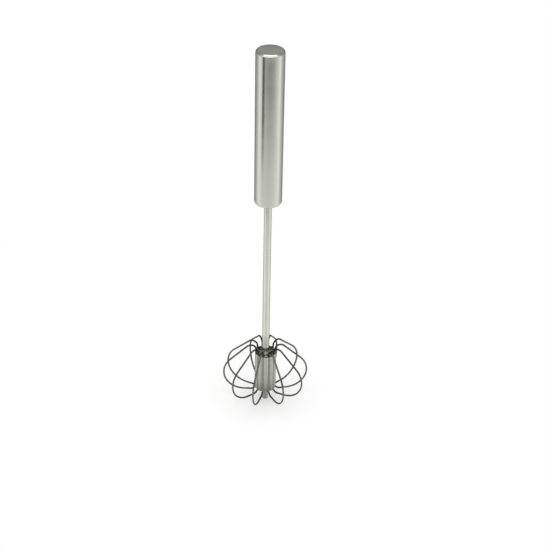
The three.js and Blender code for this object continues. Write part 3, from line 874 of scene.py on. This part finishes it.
def add_camera():
    data = bpy.data.cameras.new("camera")
    data.lens, data.sensor_width = CAMERA_LENS, CAMERA_SENSOR
    camera = bpy.data.objects.new("camera", data)
    ahead = Vector((-math.sin(CAMERA_HEADING), math.cos(CAMERA_HEADING), 0))
    forward = ahead * math.cos(CAMERA_PITCH) - UP * math.sin(CAMERA_PITCH)
    right = forward.cross(UP).normalized()
    above = right.cross(forward)
    turned_right = right * math.cos(CAMERA_ROLL) - above * math.sin(CAMERA_ROLL)
    turned_above = right * math.sin(CAMERA_ROLL) + above * math.cos(CAMERA_ROLL)
    axes = Matrix((turned_right, turned_above, -forward)).transposed()
    camera.matrix_world = Matrix.Translation(CAMERA_PLACE) @ axes.to_4x4()
    bpy.context.scene.collection.objects.link(camera)
    bpy.context.scene.camera = camera


def sheet(name, corners, faces, material):
    """A stage surface."""
    mesh = bpy.data.meshes.new(name)
    mesh.from_pydata(corners, [], faces)
    mesh.materials.append(material)
    piece = bpy.data.objects.new(name, mesh)
    bpy.context.scene.collection.objects.link(piece)
    return piece


def seen_share(finish):
    """1 for the rays that show the background: from the camera, in gloss and through glass."""
    path = finish.add("ShaderNodeLightPath").outputs
    seen = finish.math("MAXIMUM", path["Is Camera Ray"], path["Is Glossy Ray"])
    return finish.math("MAXIMUM", seen, path["Is Transmission Ray"])


def bearing_spot(degrees, distance, height):
    """A place round the whisk, by its angle to the right of the camera's side."""
    angle = math.radians(degrees)
    return (distance * math.sin(angle), -distance * math.cos(angle), height)


def card_bearing(finish):
    """Degrees to the right of the camera's side, as in bearing_spot."""
    spot = finish.parts(finish.place())
    angle = finish.math("ARCTAN2", spot["X"], finish.math("MULTIPLY", spot["Y"], -1.0))
    return finish.math("DEGREES", angle)


def bearing_ring(distance, height, steps):
    return [bearing_spot(360 * k / steps, distance, height) for k in range(steps)]


def add_card(finish, level, corners, faces, share=None):
    """A card that the steel mirrors, outside the picture and the light. A share makes it fade."""
    shader = finish.add("ShaderNodeEmission", {"Strength": level})
    if share is not None:
        clear = finish.add("ShaderNodeBsdfTransparent")
        sides = {0: share, 1: clear.outputs[0], 2: shader.outputs[0]}
        shader = finish.add("ShaderNodeMixShader", sides)
    card = sheet(finish.owner.name, corners, faces, finish.surface(shader))
    card.visible_camera = False
    card.visible_diffuse = False
    card.visible_transmission = False
    card.visible_shadow = False
    card.rotation_euler.z = math.atan2(CAMERA_PLACE.x, -CAMERA_PLACE.y)


def floor_level(finish):
    """Level of the floor cards at a place: the three rings, and a dark strip on the left."""
    bearing, distance = card_bearing(finish), axis_distance(finish)
    side = finish.math("ABSOLUTE", bearing)
    close = finish.math("MULTIPLY", finish.ramp(side, CLOSE_CARDS), finish.ramp(distance, HEAD_SHADE))
    near_share = finish.spread(distance, *CLOSE_BLEND, 0.0, 1.0)
    near = finish.mix(near_share, close, finish.ramp(side, NEAR_CARDS))
    far_share = finish.spread(distance, *FAR_BLEND, 0.0, 1.0)
    level = finish.mix(far_share, near, finish.ramp(side, FAR_CARDS))
    off = finish.math("ABSOLUTE", finish.math("SUBTRACT", bearing, DARK_ANGLE))
    strip = finish.spread(off, *DARK_SIDES, DARK_LEVEL, 1.0)
    strip_share = finish.spread(distance, *DARK_START, 0.0, 1.0)
    return finish.math("MULTIPLY", level, finish.mix(strip_share, 1.0, strip))


def add_floor_cards(steps=96):
    """Cards that lie round the whisk: white at its sides, grey in front and behind."""
    finish = Finish("floor_cards")
    rim = bearing_ring(CARD_REACH, CARD_LIFT, steps)
    add_card(finish, floor_level(finish), rim, [list(range(steps))])


def add_overhead_card(corners, height, level):
    spots = [(x, y, height) for x, y in corners]
    add_card(Finish("overhead_card"), level, spots, [range(len(spots))])


def add_standing_card(name, fade, distance, heights, level, steps=24):
    """A bowed card in front of the whisk that fades out between two angles to either side."""
    finish = Finish(name)
    share = finish.spread(finish.math("ABSOLUTE", card_bearing(finish)), *fade, 1.0, 0.0)
    angles = [fade[1] * (2 * k / steps - 1) for k in range(steps + 1)]
    spots = [bearing_spot(a, distance, z) for z in heights for a in angles]
    faces = [(k, k + 1, steps + 2 + k, steps + 1 + k) for k in range(steps)]
    add_card(finish, level, spots, faces, share)


def add_dome(stops, radius, rings=24, segments=48):
    """The room's dim walls and ceiling, by the height of the direction to them."""
    finish = Finish("dome")
    heading = finish.add("ShaderNodeVectorMath", {0: finish.place()}, operation="NORMALIZE")
    level = finish.ramp(finish.parts(heading.outputs["Vector"])["Z"], stops)
    spots = []
    for i in range(rings):
        tilt = math.pi / 2 * i / rings
        spots += bearing_ring(radius * math.cos(tilt), radius * math.sin(tilt), segments)
    top = len(spots)
    spots.append((0, 0, radius))
    faces = []
    for low in range(0, top, segments):
        high = low + segments
        for k in range(segments):
            j = (k + 1) % segments
            above = (high + j, high + k) if high < top else (top,)
            faces.append((low + k, low + j, *above))
    add_card(finish, level, spots, faces)


def add_floor(steps=96):
    """Pale floor that keeps the shadow near the whisk and runs out into white."""
    finish = Finish("floor")
    paint = finish.add("ShaderNodeBsdfDiffuse", {"Color": FLOOR_COLOUR})
    white = finish.add("ShaderNodeEmission", {"Color": WHITE, "Strength": 1.0})
    far = finish.spread(axis_distance(finish), *FLOOR_WHITE)
    share = finish.math("MULTIPLY", far, seen_share(finish))
    mixed = finish.add("ShaderNodeMixShader", {0: share, 1: paint.outputs[0], 2: white.outputs[0]})
    sheet("floor", bearing_ring(FLOOR_REACH, 0, steps), [list(range(steps))], finish.surface(mixed))


def add_softbox(size, energy, place):
    data = bpy.data.lights.new("softbox", "AREA")
    data.shape, data.size, data.size_y = "RECTANGLE", size, size
    data.energy = energy
    lamp = bpy.data.objects.new("softbox", data)
    lamp.visible_glossy = False
    lamp.location = place
    bpy.context.scene.collection.objects.link(lamp)


def add_world():
    """White where it shows, and a soft fill everywhere else."""
    finish = Finish("studio", "worlds")
    level = finish.spread(seen_share(finish), 0.0, 1.0, ROOM_FILL, 1.0)
    glow = finish.add("ShaderNodeBackground", {"Color": WHITE, "Strength": level})
    bpy.context.scene.world = finish.surface(glow, "ShaderNodeOutputWorld")


add_camera()
add_floor()
add_floor_cards()
add_overhead_card(**OVERHEAD_CARD)
add_standing_card("front_card", **FRONT_CARD)
add_standing_card("wide_card", **WIDE_CARD)
add_dome(**DOME)
add_softbox(**SOFTBOX)
add_world()
bpy.context.scene.view_settings.view_transform = "Standard"
